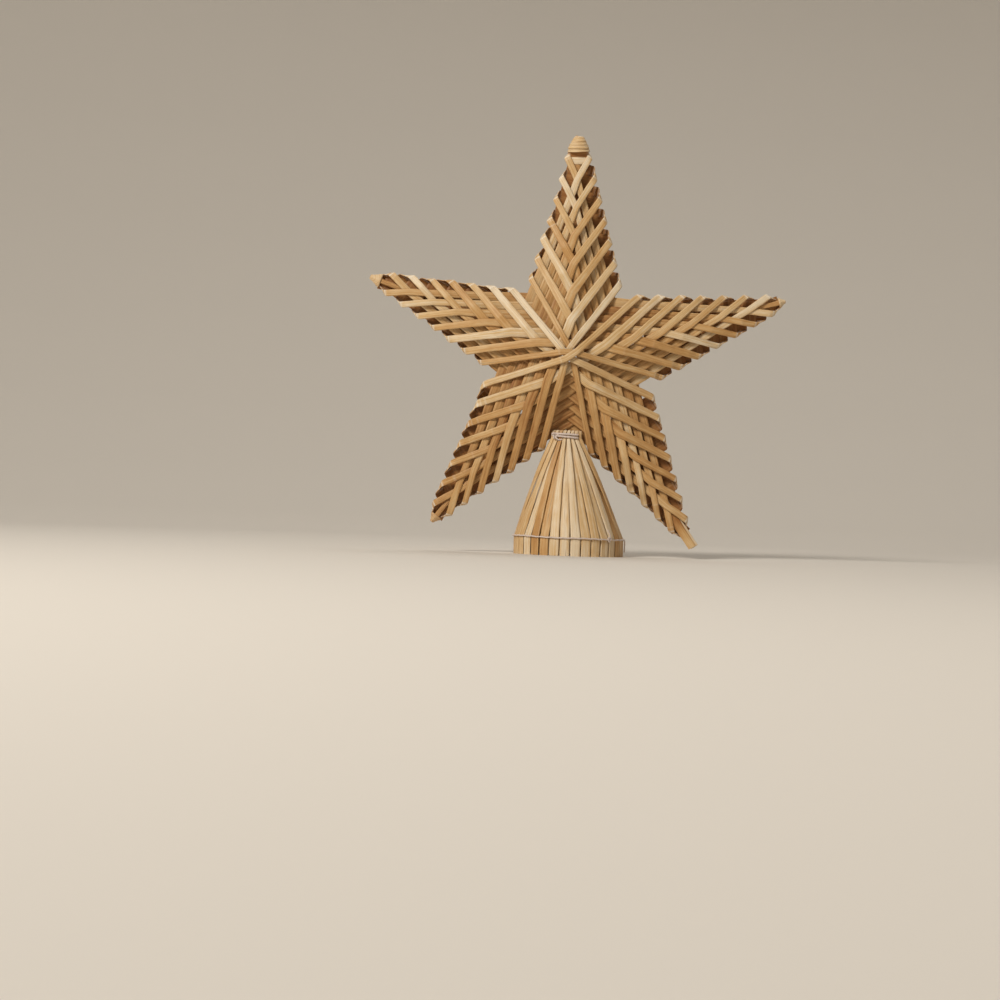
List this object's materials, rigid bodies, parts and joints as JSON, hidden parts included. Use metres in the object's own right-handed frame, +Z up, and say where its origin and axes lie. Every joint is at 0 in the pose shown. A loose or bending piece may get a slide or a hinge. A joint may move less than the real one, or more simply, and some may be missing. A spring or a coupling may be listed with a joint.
{
  "type": "straw star tree topper",
  "caption": "Five-pointed star wound from flattened straws in crossing courses, on a cone-shaped skirt of straws that slips over a tree's top shoot and also stands by itself.",
  "frame": {"origin": "centre of the skirt's open foot, on the surface that it stands on", "axes": "+Z up, the front of the star faces -Y, +X to the right as seen from the front"},
  "size_m": [0.2511, 0.0678, 0.2518],
  "materials": {
    "winding_straw": "dried straw, flattened, satin sheen on the outer skin",
    "skirt_straw": "dried straw, paler, satin sheen",
    "tip_straw": "folded straw ends, darker in the folds",
    "thread": "undyed twisted cotton thread, matt"
  },
  "bodies": {
    "root": {"neck_binding_back": "thread", "neck_binding_front": "thread", "skirt_straw_1": "skirt_straw", "skirt_straw_10": "skirt_straw", "skirt_straw_11": "skirt_straw", "skirt_straw_12": "skirt_straw", "skirt_straw_13": "skirt_straw", "skirt_straw_14": "skirt_straw", "skirt_straw_15": "skirt_straw", "skirt_straw_16": "skirt_straw", "skirt_straw_2": "skirt_straw", "skirt_straw_3": "skirt_straw", "skirt_straw_4": "skirt_straw", "skirt_straw_5": "skirt_straw", "skirt_straw_6": "skirt_straw", "skirt_straw_7": "skirt_straw", "skirt_straw_8": "skirt_straw", "skirt_straw_9": "skirt_straw", "skirt_thread": "thread", "straw_left_1": "winding_straw", "straw_left_2": "winding_straw", "straw_left_3": "winding_straw", "straw_left_4": "winding_straw", "straw_left_5": "winding_straw", "straw_left_6": "winding_straw", "straw_left_7": "winding_straw", "straw_lower_left_1": "winding_straw", "straw_lower_left_2": "winding_straw", "straw_lower_left_3": "winding_straw", "straw_lower_left_4": "winding_straw", "straw_lower_left_5": "winding_straw", "straw_lower_left_6": "winding_straw", "straw_lower_left_7": "winding_straw", "straw_lower_right_1": "winding_straw", "straw_lower_right_2": "winding_straw", "straw_lower_right_3": "winding_straw", "straw_lower_right_4": "winding_straw", "straw_lower_right_5": "winding_straw", "straw_lower_right_6": "winding_straw", "straw_lower_right_7": "winding_straw", "straw_right_1": "winding_straw", "straw_right_2": "winding_straw", "straw_right_3": "winding_straw", "straw_right_4": "winding_straw", "straw_right_5": "winding_straw", "straw_right_6": "winding_straw", "straw_right_7": "winding_straw", "straw_top_1": "winding_straw", "straw_top_2": "winding_straw", "straw_top_3": "winding_straw", "straw_top_4": "winding_straw", "straw_top_5": "winding_straw", "straw_top_6": "winding_straw", "straw_top_7": "winding_straw", "tip_left": "tip_straw", "tip_lower_left": "tip_straw", "tip_lower_right": "tip_straw", "tip_right": "tip_straw", "tip_top": "tip_straw"}
  },
  "joints": []
}
